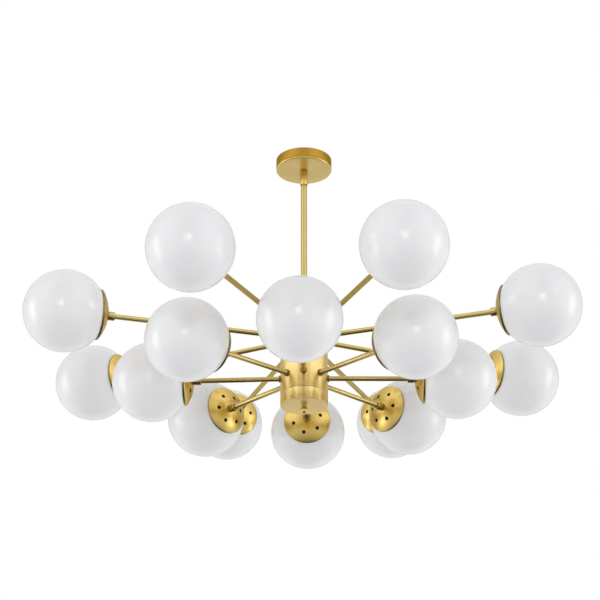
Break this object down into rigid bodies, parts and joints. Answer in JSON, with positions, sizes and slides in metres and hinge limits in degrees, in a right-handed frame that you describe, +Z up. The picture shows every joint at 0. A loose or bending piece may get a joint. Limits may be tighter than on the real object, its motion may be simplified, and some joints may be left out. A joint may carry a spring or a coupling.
{
  "type": "multi arm globe chandelier",
  "caption": "Ceiling chandelier with straight radial arms in two tiers round a brushed brass hub; each arm ends in a vented brass cap and an opal glass globe.",
  "frame": {"origin": "centre of the ceiling bracket's top face, on the lamp's vertical axis, in the plane of the ceiling", "axes": "+Z up out of the bracket into the ceiling; -Y towards lower arm 1, which is the front of the lamp"},
  "size_m": [1.001, 1.001, 0.5424],
  "materials": {
    "satin_brass": "satin",
    "brushed_brass": "brushed",
    "polished_brass": "semi-polished",
    "opal_glass": "satin opal",
    "zinc_steel": "zinc plated",
    "white_ceramic": "matt glazed"
  },
  "bodies": {
    "root": {"ceiling_bracket": "zinc_steel", "terminal_block": "white_ceramic", "rod_lock_nut": "zinc_steel", "down_rod": "satin_brass", "hub_body": "brushed_brass", "hub_coupling_nut": "zinc_steel", "centre_stud": "zinc_steel", "hub_lower_cover": "brushed_brass", "bottom_finial": "polished_brass", "arm_upper_1": "satin_brass", "arm_upper_2": "satin_brass", "arm_upper_3": "satin_brass", "arm_upper_4": "satin_brass", "arm_upper_5": "satin_brass", "arm_upper_6": "satin_brass", "arm_upper_7": "satin_brass", "arm_upper_8": "satin_brass", "arm_lower_1": "satin_brass", "arm_lower_2": "satin_brass", "arm_lower_3": "satin_brass", "arm_lower_4": "satin_brass", "arm_lower_5": "satin_brass", "arm_lower_6": "satin_brass", "arm_lower_7": "satin_brass", "arm_lower_8": "satin_brass", "cap_upper_1": "polished_brass", "cap_upper_2": "polished_brass", "cap_upper_3": "polished_brass", "cap_upper_4": "polished_brass", "cap_upper_5": "polished_brass", "cap_upper_6": "polished_brass", "cap_upper_7": "polished_brass", "cap_upper_8": "polished_brass", "cap_lower_1": "polished_brass", "cap_lower_2": "polished_brass", "cap_lower_3": "polished_brass", "cap_lower_4": "polished_brass", "cap_lower_5": "polished_brass", "cap_lower_6": "polished_brass", "cap_lower_7": "polished_brass", "cap_lower_8": "polished_brass"},
    "canopy": {"canopy": "satin_brass", "canopy_collar": "polished_brass", "collar_screw": "polished_brass"},
    "globe_upper_1": {"globe_upper_1": "opal_glass"},
    "globe_upper_2": {"globe_upper_2": "opal_glass"},
    "globe_upper_3": {"globe_upper_3": "opal_glass"},
    "globe_upper_4": {"globe_upper_4": "opal_glass"},
    "globe_upper_5": {"globe_upper_5": "opal_glass"},
    "globe_upper_6": {"globe_upper_6": "opal_glass"},
    "globe_upper_7": {"globe_upper_7": "opal_glass"},
    "globe_upper_8": {"globe_upper_8": "opal_glass"},
    "globe_lower_1": {"globe_lower_1": "opal_glass"},
    "globe_lower_2": {"globe_lower_2": "opal_glass"},
    "globe_lower_3": {"globe_lower_3": "opal_glass"},
    "globe_lower_4": {"globe_lower_4": "opal_glass"},
    "globe_lower_5": {"globe_lower_5": "opal_glass"},
    "globe_lower_6": {"globe_lower_6": "opal_glass"},
    "globe_lower_7": {"globe_lower_7": "opal_glass"},
    "globe_lower_8": {"globe_lower_8": "opal_glass"}
  },
  "joints": [
    {"name": "canopy_slide", "type": "slide", "parent": "root", "child": "canopy", "axis": [0, 0, -1], "range_m": [0, 0.27]},
    {"name": "globe_upper_1_pull", "type": "slide", "parent": "root", "child": "globe_upper_1", "axis": [0.3825, -0.9234, -0.0332], "range_m": [0, 0.07]},
    {"name": "globe_upper_2_pull", "type": "slide", "parent": "root", "child": "globe_upper_2", "axis": [0.9234, -0.3825, -0.0332], "range_m": [0, 0.07]},
    {"name": "globe_upper_3_pull", "type": "slide", "parent": "root", "child": "globe_upper_3", "axis": [0.9234, 0.3825, -0.0332], "range_m": [0, 0.07]},
    {"name": "globe_upper_4_pull", "type": "slide", "parent": "root", "child": "globe_upper_4", "axis": [0.3825, 0.9234, -0.0332], "range_m": [0, 0.07]},
    {"name": "globe_upper_5_pull", "type": "slide", "parent": "root", "child": "globe_upper_5", "axis": [-0.3825, 0.9234, -0.0332], "range_m": [0, 0.07]},
    {"name": "globe_upper_6_pull", "type": "slide", "parent": "root", "child": "globe_upper_6", "axis": [-0.9234, 0.3825, -0.0332], "range_m": [0, 0.07]},
    {"name": "globe_upper_7_pull", "type": "slide", "parent": "root", "child": "globe_upper_7", "axis": [-0.9234, -0.3825, -0.0332], "range_m": [0, 0.07]},
    {"name": "globe_upper_8_pull", "type": "slide", "parent": "root", "child": "globe_upper_8", "axis": [-0.3825, -0.9234, -0.0332], "range_m": [0, 0.07]},
    {"name": "globe_lower_1_pull", "type": "slide", "parent": "root", "child": "globe_lower_1", "axis": [0, -0.9999, -0.014], "range_m": [0, 0.07]},
    {"name": "globe_lower_2_pull", "type": "slide", "parent": "root", "child": "globe_lower_2", "axis": [0.707, -0.707, -0.014], "range_m": [0, 0.07]},
    {"name": "globe_lower_3_pull", "type": "slide", "parent": "root", "child": "globe_lower_3", "axis": [0.9999, 0, -0.014], "range_m": [0, 0.07]},
    {"name": "globe_lower_4_pull", "type": "slide", "parent": "root", "child": "globe_lower_4", "axis": [0.707, 0.707, -0.014], "range_m": [0, 0.07]},
    {"name": "globe_lower_5_pull", "type": "slide", "parent": "root", "child": "globe_lower_5", "axis": [0, 0.9999, -0.014], "range_m": [0, 0.07]},
    {"name": "globe_lower_6_pull", "type": "slide", "parent": "root", "child": "globe_lower_6", "axis": [-0.707, 0.707, -0.014], "range_m": [0, 0.07]},
    {"name": "globe_lower_7_pull", "type": "slide", "parent": "root", "child": "globe_lower_7", "axis": [-0.9999, 0, -0.014], "range_m": [0, 0.07]},
    {"name": "globe_lower_8_pull", "type": "slide", "parent": "root", "child": "globe_lower_8", "axis": [-0.707, -0.707, -0.014], "range_m": [0, 0.07]}
  ]
}
